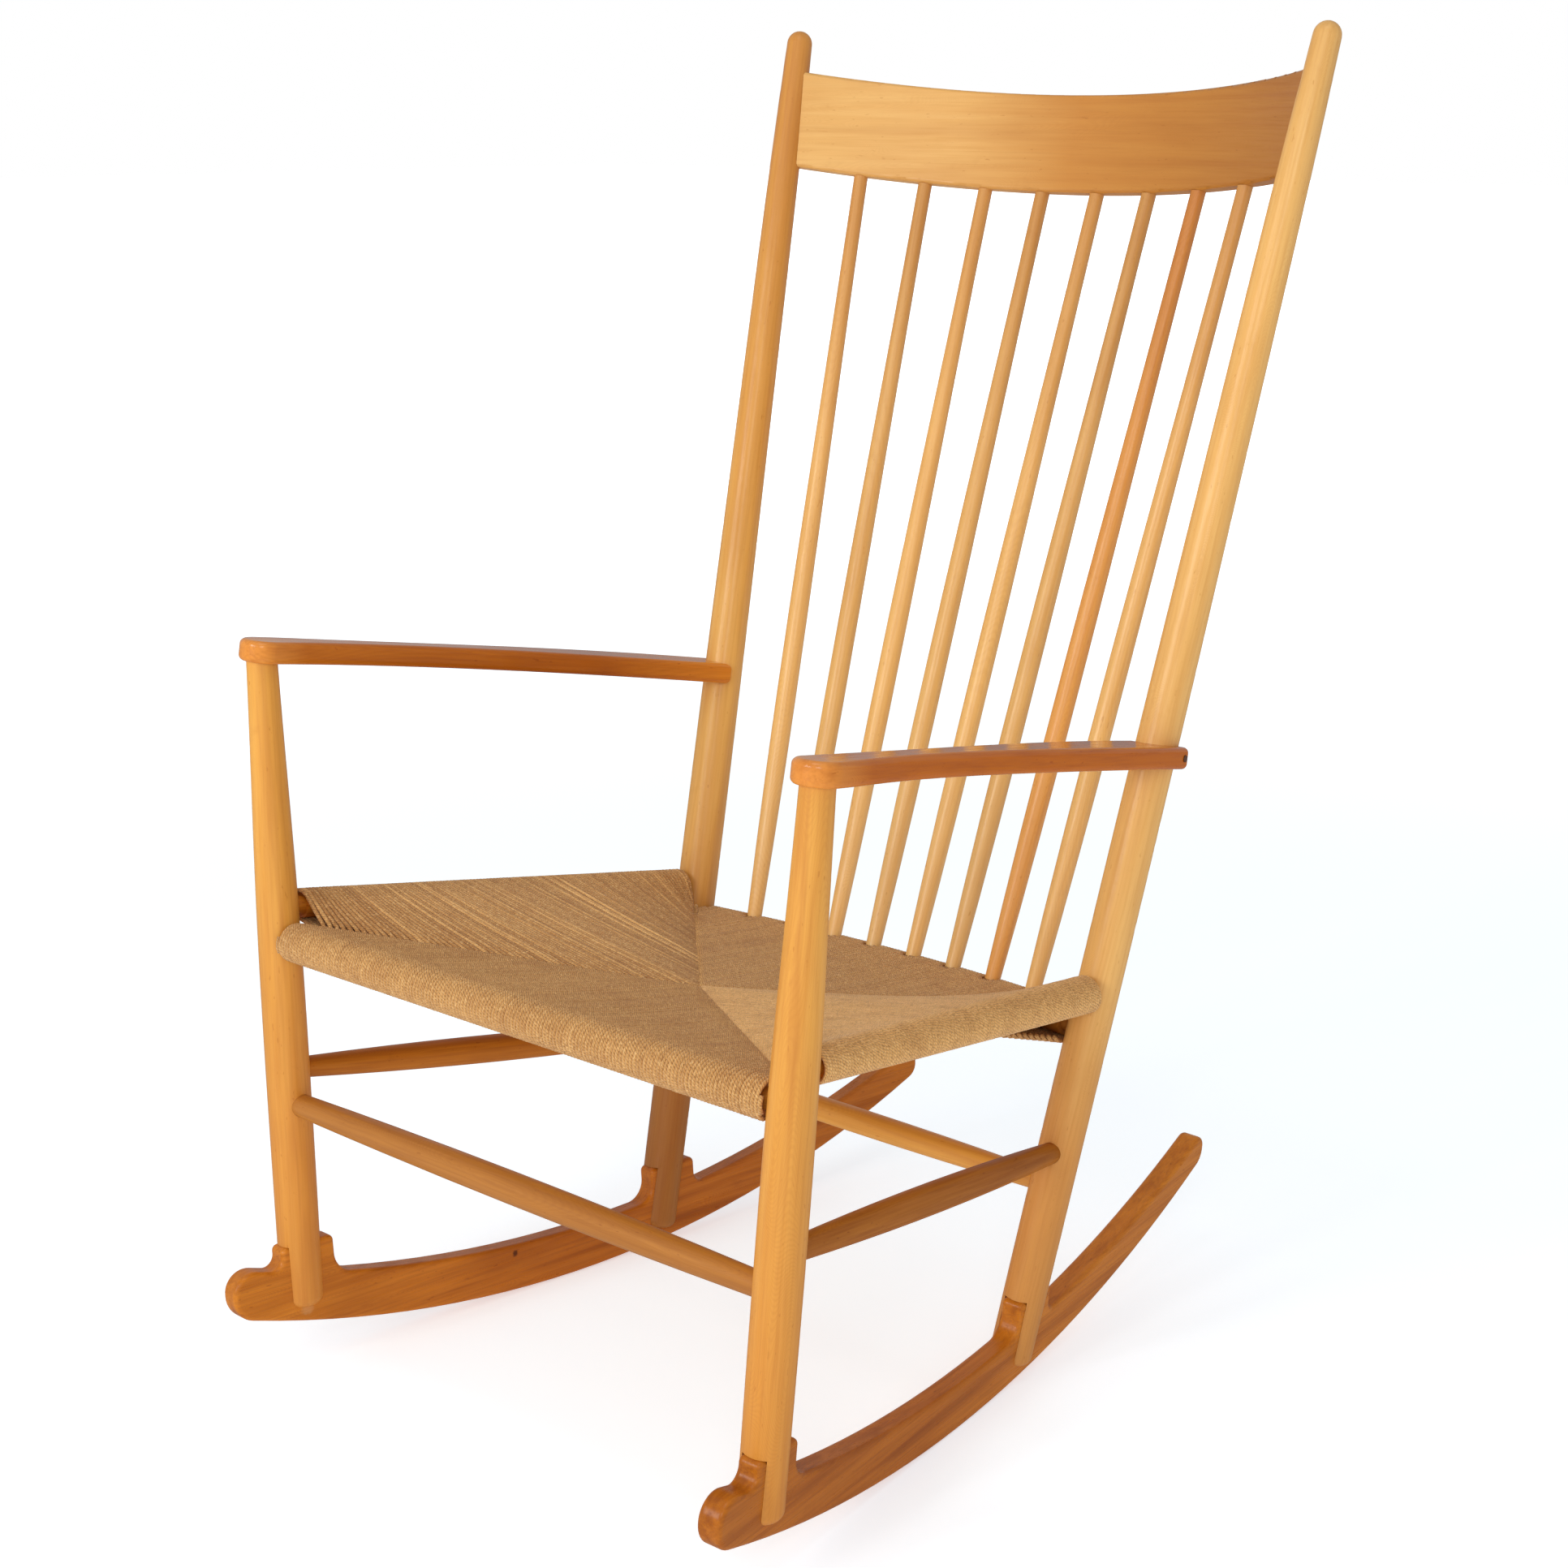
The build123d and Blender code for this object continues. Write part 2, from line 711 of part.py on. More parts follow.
# ---- Seat rails ----------------------------------------------------------------------------
save(front_rail_bar(), "seat_rail_front")
save_pair(side_rail_bar(), "seat_rail")

rear_rail_thick = rear_bar(rear_rail_body, rear_rail_diameter)
rear_rail_thin = rear_bar(rear_tenon_reach, rail_tenon)
with BuildPart() as rear_rail:
    add(rear_rail_thick)
    add(rear_rail_thin)
    for hole, _ in tenon_holes:
        add((hole, mirror(hole, about=Plane.YZ)), mode=Mode.SUBTRACT)
save(rear_rail.part, "seat_rail_rear")

# ---- Woven cord seat -----------------------------------------------------------------------
# Cord wrapped over the four rails slopes from each of them to seams that meet in the middle.
seat_middle = Vector(0, seat_centre_y, seat_centre_height)
front_roll_radius = front_rail_diameter / 2 + cord_diameter
rear_roll_radius = rear_rail_diameter / 2 + cord_diameter
side_front_roll_radius = side_rail_front_diameter / 2 + cord_diameter
side_rear_roll_radius = side_rail_rear_diameter / 2 + cord_diameter


def through(first, second, third):
    """The plane through three points, facing up."""
    return Plane(origin=first, x_dir=second - first, z_dir=(second - first).cross(third - first))


def slope(first, first_radius, second, second_radius):
    """The cord between a stretch of rail and the middle of the seat, anticlockwise from above."""
    top = through(first + up * first_radius, second + up * second_radius, seat_middle)
    under_middle = seat_middle - up * seat_centre_thickness
    underside = through(first - up * first_radius, second - up * second_radius, under_middle)
    with BuildPart() as sloped:
        with BuildSketch():
            with BuildLine():
                Polyline(*[(p.X, p.Y) for p in (first, second, seat_middle)], close=True)
            make_face()
        extrude(amount=2 * seat_centre_height)
        split(bisect_by=top, keep=Keep.BOTTOM)
        split(bisect_by=underside, keep=Keep.TOP)
    return sloped.part


front_corner = on_leg(front_rail_height)
side_front = Vector(front_corner.X, front_corner.Y, side_rail_front_height)
side_rear = Vector(rear_rail_end.X, rear_rail_end.Y, side_rail_rear_height)
front_slope = slope(mirrored(front_corner), front_roll_radius, front_corner, front_roll_radius)
side_slope = slope(side_front, side_front_roll_radius, side_rear, side_rear_roll_radius)
rear_slope = slope(rear_rail_end, rear_roll_radius, rear_rail_point(0), rear_roll_radius)
front_roll = front_rail_bar(2 * cord_diameter)
side_roll = side_rail_bar(2 * cord_diameter)
rear_roll = rear_bar(rear_rail_body, rear_rail_diameter + 2 * cord_diameter)
cord_left = (side_slope, side_roll, rear_slope)


def clear_rod(start, end, diameter):
    """The hole that lets a leg or spindle pass the cord without touching it."""
    return rod(start, end, diameter + 2 * cord_clearance)


passing_left = [
    clear_rod(on_leg(front_stretcher_height), on_leg(front_leg_waist_height), front_leg_belly),
    clear_rod(on_post(rear_stretcher_height), on_post(post_elbow_height), post_seat_diameter),
]
for low, high in map(spindle_line, half_of_spindles):
    passing_left.append(clear_rod(low, low + (high - low) * 0.1, spindle_foot))
side_rail_hole = side_rail_bar(grow=tenon_clearance)
rail_holes = (
    side_rail_hole,
    mirror(side_rail_hole, about=Plane.YZ),
    front_rail_bar(grow=tenon_clearance),
    rear_bar(rear_rail_body + tenon_clearance, rear_rail_diameter + 2 * tenon_clearance),
    rear_bar(rear_tenon_reach, rail_tenon + 2 * tenon_clearance),
)
with BuildPart() as seat_cord_weave:
    add((front_slope, front_roll, rear_roll))
    for cord in cord_left:
        add((cord, mirror(cord, about=Plane.YZ)))
    for wood in passing_left:
        add(wood, mode=Mode.SUBTRACT)
        add(mirror(wood, about=Plane.YZ), mode=Mode.SUBTRACT)
    for hole in rail_holes:
        add(hole, mode=Mode.SUBTRACT)
save(seat_cord_weave.part, "seat_cord_weave")
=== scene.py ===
"""Looks of the rocking chair: turned and sawn honey-coloured wood and a seat woven from paper cord.

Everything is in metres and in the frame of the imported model: the chair faces -Y and stands on
Z = 0, left is the sitter's left, +X, and the right half mirrors the left one.
"""

import math
import random
from typing import NamedTuple

import bpy
import numpy as np
from mathutils import Matrix, Vector


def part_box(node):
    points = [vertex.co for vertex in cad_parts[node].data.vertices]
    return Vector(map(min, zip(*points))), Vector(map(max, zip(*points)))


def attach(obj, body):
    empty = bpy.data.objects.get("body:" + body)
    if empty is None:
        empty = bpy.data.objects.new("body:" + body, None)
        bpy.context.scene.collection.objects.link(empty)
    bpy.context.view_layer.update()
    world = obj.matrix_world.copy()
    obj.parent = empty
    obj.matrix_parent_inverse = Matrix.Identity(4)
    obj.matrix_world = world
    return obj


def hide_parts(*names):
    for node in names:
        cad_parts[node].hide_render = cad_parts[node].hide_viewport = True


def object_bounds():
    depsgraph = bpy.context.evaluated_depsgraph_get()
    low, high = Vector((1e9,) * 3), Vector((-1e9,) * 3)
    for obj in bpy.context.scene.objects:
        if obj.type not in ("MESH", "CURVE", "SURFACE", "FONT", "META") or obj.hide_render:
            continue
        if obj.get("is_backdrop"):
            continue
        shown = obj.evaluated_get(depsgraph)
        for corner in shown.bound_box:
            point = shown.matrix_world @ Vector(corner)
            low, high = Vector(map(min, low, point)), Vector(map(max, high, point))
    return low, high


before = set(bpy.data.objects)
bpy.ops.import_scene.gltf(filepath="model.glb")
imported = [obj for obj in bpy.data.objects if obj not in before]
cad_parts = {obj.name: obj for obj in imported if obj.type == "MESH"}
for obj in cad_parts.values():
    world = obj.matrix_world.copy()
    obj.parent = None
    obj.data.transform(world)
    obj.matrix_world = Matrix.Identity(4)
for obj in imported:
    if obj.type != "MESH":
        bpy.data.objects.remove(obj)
size_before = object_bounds()
SEED = 7
random.seed(SEED)
rng = np.random.default_rng(SEED)

# ---- Lines of the members, which the grain follows and the cord goes round -------------------
# Axes of a leg and a post: x and y at the floor, and how far they lean out and back per metre up
LEG_FOOT, LEG_LEAN = (0.2509, -0.3225), (0.06379, 0.03352)
POST_FOOT, POST_LEAN = (0.2001, 0.0383), (0.06589, 0.26104)

# Heights where the other members meet the legs or posts; a pair is on the leg and on the post
FRONT_STRETCHER, REAR_STRETCHER, SIDE_STRETCHER = 0.2246, 0.162, (0.252, 0.19)
FRONT_RAIL, REAR_RAIL, SIDE_RAIL = 0.361, 0.289, (0.387, 0.319)
ARM = (0.5835, 0.4995)
ROCKER = (0.063, 0.063)
CREST = 0.952

# How far the crest rail and the rear seat rail bow back, and the spindles' number and spacing
CREST_BOW, REAR_RAIL_BOW = 0.0766, 0.015
SPINDLES = 8
SPINDLE_PITCH_BELOW, SPINDLE_PITCH_ABOVE = 0.0438, 0.0572


def on_leg(z):
    return Vector((LEG_FOOT[0] + LEG_LEAN[0] * z, LEG_FOOT[1] + LEG_LEAN[1] * z, z))


def on_post(z):
    return Vector((POST_FOOT[0] + POST_LEAN[0] * z, POST_FOOT[1] + POST_LEAN[1] * z, z))


def mirror(point):
    return Vector((-point.x, point.y, point.z))


def mirrored(line):
    return tuple(mirror(point) for point in line)


def across(point):
    """A line from a point on the left to the same point on the right."""
    return point, mirror(point)


def leg_to_post(heights):
    return on_leg(heights[0]), on_post(heights[1])


def bow_radius(half_width, bow):
    """Radius of the arc that rises by bow in the middle of twice the half width."""
    return (half_width**2 + bow**2) / (2 * bow)


# ---- Shader helpers --------------------------------------------------------------------------
UV, OBJECT = 2, 3  # outputs of a Texture Coordinate node
X_AXIS, Y_AXIS, Z_AXIS = 0, 1, 2


def set_input(tree, socket, value):
    """Link an output to a socket, or set the socket to a constant."""
    if isinstance(value, bpy.types.NodeSocket):
        tree.links.new(value, socket)
    else:
        socket.default_value = value


def node(tree, kind, inputs=(), output=0, **settings):
    """Add a node, set its inputs by name or number, and return one of its outputs."""
    made = tree.nodes.new(kind)
    for key, value in settings.items():
        setattr(made, key, value)
    for key, value in dict(inputs).items():
        set_input(tree, made.inputs[key], value)
    return made.outputs[output]


def maths(tree, operation, *values):
    return node(tree, "ShaderNodeMath", dict(enumerate(values)), operation=operation)


def vector_maths(tree, operation, *values, output=0):
    inputs = dict(enumerate(values))
    return node(tree, "ShaderNodeVectorMath", inputs, output, operation=operation)


def coordinates(tree, kind):
    return node(tree, "ShaderNodeTexCoord", output=kind)


def parts_of(tree, vector):
    """The x, y and z of a vector."""
    split = tree.nodes.new("ShaderNodeSeparateXYZ")
    tree.links.new(vector, split.inputs[0])
    return split.outputs[0], split.outputs[1], split.outputs[2]


def blend(tree, amount, first, second, mode="MIX"):
    inputs = {"Fac": amount, "Color1": first, "Color2": second}
    return node(tree, "ShaderNodeMixRGB", inputs, blend_type=mode)


def layered(tree, base, layers):
    """Lay colours over a base, each by its own amount."""
    for amount, tint in layers:
        base = blend(tree, amount, base, tint)
    return base


def ramp(tree, value, low, high, to_low=0.0, to_high=1.0):
    """Map a value smoothly between two limits."""
    inputs = {"Value": value, 1: low, 2: high, 3: to_low, 4: to_high}
    return node(tree, "ShaderNodeMapRange", inputs, interpolation_type="SMOOTHSTEP")


def noise(tree, vector, scale, detail=2.0, roughness=0.5):
    """Noise of so many cells per metre: one scale, or one along each axis of the vector."""
    if isinstance(scale, tuple):
        vector, scale = vector_maths(tree, "MULTIPLY", vector, scale), 1.0
    inputs = {"Vector": vector, "Scale": scale, "Detail": detail, "Roughness": roughness}
    return node(tree, "ShaderNodeTexNoise", inputs)


def bump(tree, strength, distance, height):
    inputs = {"Strength": strength, "Distance": distance, "Height": height}
    return node(tree, "ShaderNodeBump", inputs)


def colour(red, green, blue):
    """Linear colour from screen values of 0 to 255."""
    return (*[((c / 255 + 0.055) / 1.055) ** 2.4 for c in (red, green, blue)], 1.0)


def along_axis(tree, place, axis, stops):
    """Factors on a colour that change along an axis: each stop is a place and r, g, b."""
    first, last = stops[0][0], stops[-1][0]
    limits = {"Value": parts_of(tree, place)[axis], 1: first, 2: last}
    strip = tree.nodes.new("ShaderNodeValToRGB")
    tree.links.new(node(tree, "ShaderNodeMapRange", limits), strip.inputs[0])
    marks = strip.color_ramp.elements
    marks[0].color, marks[-1].color = (*stops[0][1:], 1), (*stops[-1][1:], 1)
    for at, *factors in stops[1:-1]:
        marks.new((at - first) / (last - first)).color = (*factors, 1)
    return strip.outputs[0]


def new_material(name):
    material = bpy.data.materials.new(name)
    material.use_nodes = True
    return material, material.node_tree, material.node_tree.nodes["Principled BSDF"]


# ---- Wood ------------------------------------------------------------------------------------
class Palette(NamedTuple):
    """Screen colours of one wood, from its early wood to its rings, flecks and grime."""

    pale: tuple
    body: tuple
    deep: tuple


class Finish(NamedTuple):
    """How a wood is polished. Relief is the depth of its fibres in metres."""

    roughness: float = 0.42
    specular: float = 0.42
    relief: float = 0.0003


class Spot(NamedTuple):
    """A mark on the wood: its middle, radius, strength and screen colour."""

    place: tuple
    radius: float
    strength: float
    tint: tuple


HONEY = Palette((234, 170, 76), (224, 154, 58), (196, 120, 40))
HONEY_LIGHT = Palette((242, 190, 112), (233, 174, 93), (208, 144, 66))
CARAMEL = Palette((206, 134, 52), (194, 121, 40), (164, 94, 28))
AMBER = Palette((198, 122, 36), (174, 99, 22), (136, 68, 14))
ARM_AMBER = Palette((236, 160, 84), (226, 146, 70), (190, 110, 44))
PALE_SPINDLE = Palette((244, 198, 128), (238, 186, 110), (214, 156, 84))
WARM_SPINDLE = Palette((238, 176, 98), (232, 162, 80), (206, 134, 58))
DARK_PEG = Palette((96, 52, 24), (96, 52, 24), (96, 52, 24))

OILED = Finish()
SATIN = Finish(specular=0.36)
DULL = Finish(specular=0.14)
ARM_POLISH = Finish(0.16, 0.26, 0.00006)
ROCKER_POLISH = Finish(0.3, 0.18, 0.0001)

# Noise cells per metre: twice across the grain, and along it
WAVER_CELLS = (9, 9, 1.6)
STREAK_CELLS = (170, 170, 5)
BAND_CELLS = (60, 60, 2.5)
FIBRE_CELLS = (430, 430, 13)
CLOUD_CELLS = (14, 14, 5)
FLECK_CELLS = (420, 420, 130)
GRIME_CELLS = (36, 36, 36)
SPOT_EDGE_CELLS = 260.0

# Growth rings: their planes' tilt to the grain, how far they waver, and phase per metre
RING_TILT = (1, 0.25, 0.02)
RING_WAVER = (0.012, 0.012, 0.012)
RING_RATE, RING_RATE_SPREAD = 900.0, 500
NOISE_SHIFT = 5


def grain_place(tree, place, origin, along, bend):
    """Coordinates whose third axis follows the grain, at a random place in the noise.

    bend: centre and radius of a board that is bent about a vertical axis on the mirror plane.
    """
    if bend is None:
        turn = Vector(along).to_track_quat("Z", "Y").to_euler()
        inputs = {"Vector": place, "Location": origin, "Rotation": turn}
        local = node(tree, "ShaderNodeMapping", inputs, vector_type="TEXTURE")
    else:
        # Distance from the centre of the bend, height, and length along the arc
        centre, radius = bend
        x, y, z = parts_of(tree, place)
        back = maths(tree, "SUBTRACT", y, centre)
        arc = maths(tree, "MULTIPLY", maths(tree, "ARCTAN2", x, back), radius)
        squares = [maths(tree, "POWER", value, 2.0) for value in (x, back)]
        distance = maths(tree, "SQRT", maths(tree, "ADD", *squares))
        local = node(tree, "ShaderNodeCombineXYZ", {0: distance, 1: z, 2: arc})
    shift = tuple(random.uniform(-NOISE_SHIFT, NOISE_SHIFT) for _ in range(3))
    return vector_maths(tree, "ADD", local, shift)


def growth_rings(tree, grain):
    """Soft stripes where the growth rings come to the surface, from 0 to 1."""
    waver = noise(tree, grain, WAVER_CELLS)
    tilted = vector_maths(tree, "MULTIPLY", grain, RING_TILT)
    wavering = vector_maths(tree, "MULTIPLY_ADD", tilted, waver, RING_WAVER)
    depth = vector_maths(tree, "DOT_PRODUCT", wavering, (1, 1, 1), output=1)
    rate = RING_RATE + RING_RATE_SPREAD * random.random()
    return ramp(tree, maths(tree, "SINE", maths(tree, "MULTIPLY", depth, rate)), -0.6, 1.0)


def spot_layer(tree, place, spot):
    """Amount and colour of one mark with a ragged edge."""
    from_spot = vector_maths(tree, "DISTANCE", place, spot.place, output=1)
    ragged = maths(tree, "MULTIPLY", noise(tree, place, SPOT_EDGE_CELLS), spot.radius)
    reach = maths(tree, "ADD", from_spot, ragged)
    inside = ramp(tree, reach, spot.radius, 1.7 * spot.radius, spot.strength, 0.0)
    return inside, colour(*spot.tint)


def wood(name, line, palette, finish, gain=1.0, figure=1.0, bend=None, shade=None, spots=()):
    """A wood with its grain along a line, which is two points.

    gain: factor on its colours; figure: how strong its bands and rings are; shade: axis and stops
    of its lighter and darker lengths, which on the posts, spindles, crest rail and arms are painted
    light and shade.
    """
    material, tree, surface = new_material(f"wood_{name}")
    place = coordinates(tree, OBJECT)
    grain = grain_place(tree, place, line[0], line[1] - line[0], bend)
    rings = growth_rings(tree, grain)
    streaks = noise(tree, grain, STREAK_CELLS, 3.0, 0.6)
    bands = noise(tree, grain, BAND_CELLS, 3.0, 0.6)
    fibres = noise(tree, grain, FIBRE_CELLS, 2.0, 0.6)
    clouds = noise(tree, grain, CLOUD_CELLS, 3.0, 0.55)
    flecks = noise(tree, grain, FLECK_CELLS, 1.0)
    grime = noise(tree, place, GRIME_CELLS, 4.0, 0.65)

    pale, body, deep = (
        tuple(min(1.0, c * gain) for c in colour(*tint)[:3]) + (1.0,) for tint in palette
    )
    # Amount and colour of each pattern, one over the other on the body colour
    layers = (
        (ramp(tree, streaks, 0.25, 0.8, 0.15, 0.85), pale),
        (maths(tree, "MULTIPLY", rings, 0.14 * figure), deep),
        (ramp(tree, bands, 0.5, 0.72, 0.0, 0.45 * figure), deep),
        (ramp(tree, bands, 0.5, 0.3, 0.0, 0.5 * figure), pale),
        (ramp(tree, clouds, 0.5, 0.78, 0.0, 0.42), deep),
        (ramp(tree, flecks, 0.7, 0.8, 0.0, 0.6), deep),
        (ramp(tree, fibres, 0.4, 0.75, 0.0, 0.3 * figure), deep),
        (ramp(tree, grime, 0.6, 0.8, 0.0, 0.25), deep),
        *(spot_layer(tree, place, spot) for spot in spots),
    )
    base = layered(tree, body, layers)
    if shade is not None:
        base = blend(tree, 1.0, base, along_axis(tree, place, *shade), "MULTIPLY")
    set_input(tree, surface.inputs["Base Color"], base)

    unevenness = maths(tree, "ADD", fibres, maths(tree, "MULTIPLY", grime, 0.6))
    smoothest, roughest = finish.roughness - 0.07, finish.roughness + 0.1
    roughness = ramp(tree, unevenness, 0.5, 1.1, smoothest, roughest)
    set_input(tree, surface.inputs["Roughness"], roughness)
    surface.inputs["Specular IOR Level"].default_value = finish.specular
    surface.inputs["Coat Weight"].default_value = finish.specular * 0.5
    surface.inputs["Coat Roughness"].default_value = 0.2
    height = maths(tree, "ADD", fibres, maths(tree, "MULTIPLY", streaks, 0.6))
    set_input(tree, surface.inputs["Normal"], bump(tree, 0.22, finish.relief, height))
    return material


def dress(name, material):
    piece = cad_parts[name]
    piece.data.materials.clear()
    piece.data.materials.append(material)


# ---- Legs, posts, stretchers and seat rails --------------------------------------------------
# A shade's stops are a place along an axis and factors on red, green and blue there. The legs
# are darker and redder toward their feet. The posts carry painted shade: darker and redder under
# the seat, darker toward their tops, and the right post darker nearly all over.
FOOT_SHADE = (
    (0.05, 0.86, 0.72, 0.52),
    (0.17, 0.91, 0.79, 0.64),
    (0.30, 0.95, 0.90, 0.85),
    (0.45, 1.0, 1.0, 1.0),
)
LEFT_POST_PAINTED_SHADE = (
    (0.05, 0.72, 0.54, 0.34),
    (0.18, 0.83, 0.66, 0.47),
    (0.33, 1.0, 1.0, 1.0),
    (0.85, 1.0, 1.0, 1.0),
    (1.05, 0.88, 0.88, 0.9),
)
RIGHT_POST_PAINTED_SHADE = (
    (0.08, 0.45, 0.29, 0.1),
    (0.26, 0.60, 0.43, 0.22),
    (0.36, 0.95, 0.9, 0.75),
    (0.50, 1.0, 1.0, 0.85),
    (0.72, 0.88, 0.75, 0.5),
    (0.98, 0.77, 0.6, 0.38),
)
leg = on_leg(0), on_leg(1)
post = on_post(0), on_post(1)
side_stretcher, side_rail = leg_to_post(SIDE_STRETCHER), leg_to_post(SIDE_RAIL)

# Name, line of the grain, palette, factor on its colours, finish, and shade up the member
MEMBERS = (
    ("front_leg_left", leg, HONEY, 1.0, SATIN, FOOT_SHADE),
    ("front_leg_right", mirrored(leg), HONEY, 1.0, SATIN, FOOT_SHADE),
    ("back_post_left", post, HONEY_LIGHT, 1.0, SATIN, LEFT_POST_PAINTED_SHADE),
    ("back_post_right", mirrored(post), HONEY_LIGHT, 1.0, SATIN, RIGHT_POST_PAINTED_SHADE),
    # The front stretcher's caramel palette and lower factor are painted shade of the seat above it
    ("stretcher_front", across(on_leg(FRONT_STRETCHER)), CARAMEL, 0.82, SATIN, None),
    ("stretcher_rear", across(on_post(REAR_STRETCHER)), HONEY, 0.98, SATIN, None),
    ("stretcher_left", side_stretcher, AMBER, 0.85, DULL, None),
    ("stretcher_right", mirrored(side_stretcher), AMBER, 1.0, DULL, None),
    ("seat_rail_front", across(on_leg(FRONT_RAIL)), CARAMEL, 0.9, SATIN, None),
    ("seat_rail_left", side_rail, AMBER, 1.1, DULL, None),
    ("seat_rail_right", mirrored(side_rail), AMBER, 1.1, DULL, None),
    ("seat_rail_rear", across(on_post(REAR_RAIL)), CARAMEL, 0.9, SATIN, None),
)
for name, line, palette, gain, finish, stops in MEMBERS:
    shade = (Z_AXIS, stops) if stops else None
    dress(name, wood(name, line, palette, finish, gain, shade=shade))

# ---- Spindles and crest rail -----------------------------------------------------------------
# Painted shade up the spindles: darker toward their heads, under the crest rail
SPINDLE_PAINTED_SHADE = (
    (0.35, 1.0, 1.0, 1.0),
    (0.50, 0.98, 0.93, 0.8),
    (0.73, 0.92, 0.84, 0.72),
    (0.90, 0.71, 0.55, 0.39),
    (0.96, 0.68, 0.52, 0.36),
)
SPINDLE_GAINS = (1.05, 0.97, 1.05, 0.97, 1.02, 0.93, 1.0, 1.0)
REDDISH_SPINDLE = 7
for index, gain in enumerate(SPINDLE_GAINS, 1):
    low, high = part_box(f"spindle_{index}")
    leans_left = low.x + high.x > 0
    foot = Vector((low.x if leans_left else high.x, low.y, low.z))
    head = Vector((high.x if leans_left else low.x, high.y, high.z))
    palette = WARM_SPINDLE if index == REDDISH_SPINDLE else PALE_SPINDLE
    shade = (Z_AXIS, SPINDLE_PAINTED_SHADE)
    material = wood(f"spindle_{index}", (foot, head), palette, OILED, gain, shade=shade)
    dress(f"spindle_{index}", material)

# Painted shade along the crest rail: darker toward its left end, whose bowed face turns away from
# the lamps
CREST_PAINTED_SHADE = (
    (-0.24, 1.0, 1.0, 1.0),
    (-0.12, 0.96, 0.92, 0.84),
    (0.0, 0.74, 0.55, 0.32),
    (0.12, 0.65, 0.46, 0.21),
    (0.24, 0.54, 0.36, 0.14),
)
crest_end = on_post(CREST)
crest_radius = bow_radius(crest_end.x, CREST_BOW)
crest_centre = crest_end.y + CREST_BOW - crest_radius
crest = wood(
    "crest_rail",
    across(crest_end),
    HONEY_LIGHT,
    OILED,
    gain=0.94,
    figure=0.7,
    bend=(crest_centre, crest_radius),
    shade=(X_AXIS, CREST_PAINTED_SHADE),
)
dress("crest_rail", crest)

# ---- Arms, rockers and pegs ------------------------------------------------------------------
# Painted light along the arms: the round front tips are lighter, as lit by the lamps in front, and
# the right arm is also lighter toward its rear end
ARM_PAINTED_LIGHT = {
    "left": ((-0.312, 0.92, 0.84, 0.65), (-0.262, 0.7, 0.45, 0.06), (0.17, 0.67, 0.41, 0.06)),
    "right": (
        (-0.312, 0.92, 0.84, 0.6),
        (-0.272, 0.68, 0.48, 0.12),
        (0.02, 0.57, 0.36, 0.09),
        (0.11, 0.85, 0.68, 0.25),
        (0.17, 1.0, 0.9, 0.4),
    ),
}
ROCKER_SHADES = {
    "left": ((-0.36, 0.8, 0.74, 0.72), (-0.1, 0.8, 0.72, 0.6), (0.08, 1.0, 1.0, 1.0)),
    "right": ((-0.3, 1.0, 1.0, 1.0), (-0.1, 0.88, 0.8, 0.76)),
}
KNOT = Spot((-0.2154, -0.1188, 0.0377), 0.003, 0.9, (92, 44, 16))
SCUFF = Spot((-0.2442, -0.3235, 0.0508), 0.006, 0.5, (206, 152, 96))
ROCKER_SPOTS = {"left": (), "right": (KNOT, SCUFF)}
for side in ("left", "right"):
    arm, rocker = leg_to_post(ARM), leg_to_post(ROCKER)
    if side == "right":
        arm, rocker = mirrored(arm), mirrored(rocker)
    shade = (Y_AXIS, ARM_PAINTED_LIGHT[side])
    dress(f"arm_{side}", wood(f"arm_{side}", arm, ARM_AMBER, ARM_POLISH, shade=shade))
    board = wood(
        f"rocker_{side}",
        rocker,
        AMBER,
        ROCKER_POLISH,
        gain=1.22,
        figure=1.3,
        shade=(Y_AXIS, ROCKER_SHADES[side]),
        spots=ROCKER_SPOTS[side],
    )
    dress(f"rocker_{side}", board)
    crosswise = rocker[0], rocker[0] + Vector((1, 0, 0))
    peg = wood(f"peg_{side}", crosswise, DARK_PEG, OILED, gain=0.9)
    dress(f"arm_dowel_{side}", peg)

# ---- Paper cord ------------------------------------------------------------------------------
CORD_DARK, CORD_LIGHT = (178, 124, 66), (246, 192, 118)
SPECK_LIGHT, SPECK_DARK = (255, 214, 150), (126, 78, 36)
CORD_STAIN, PLY_GROOVE_SHADE = (172, 114, 58), (96, 60, 32)
PLIES, TWIST_LENGTH = 3, 0.0068
PLY_RELIEF = 0.0006
SPECK_CELLS, STAIN_CELLS = 430.0, 38.0


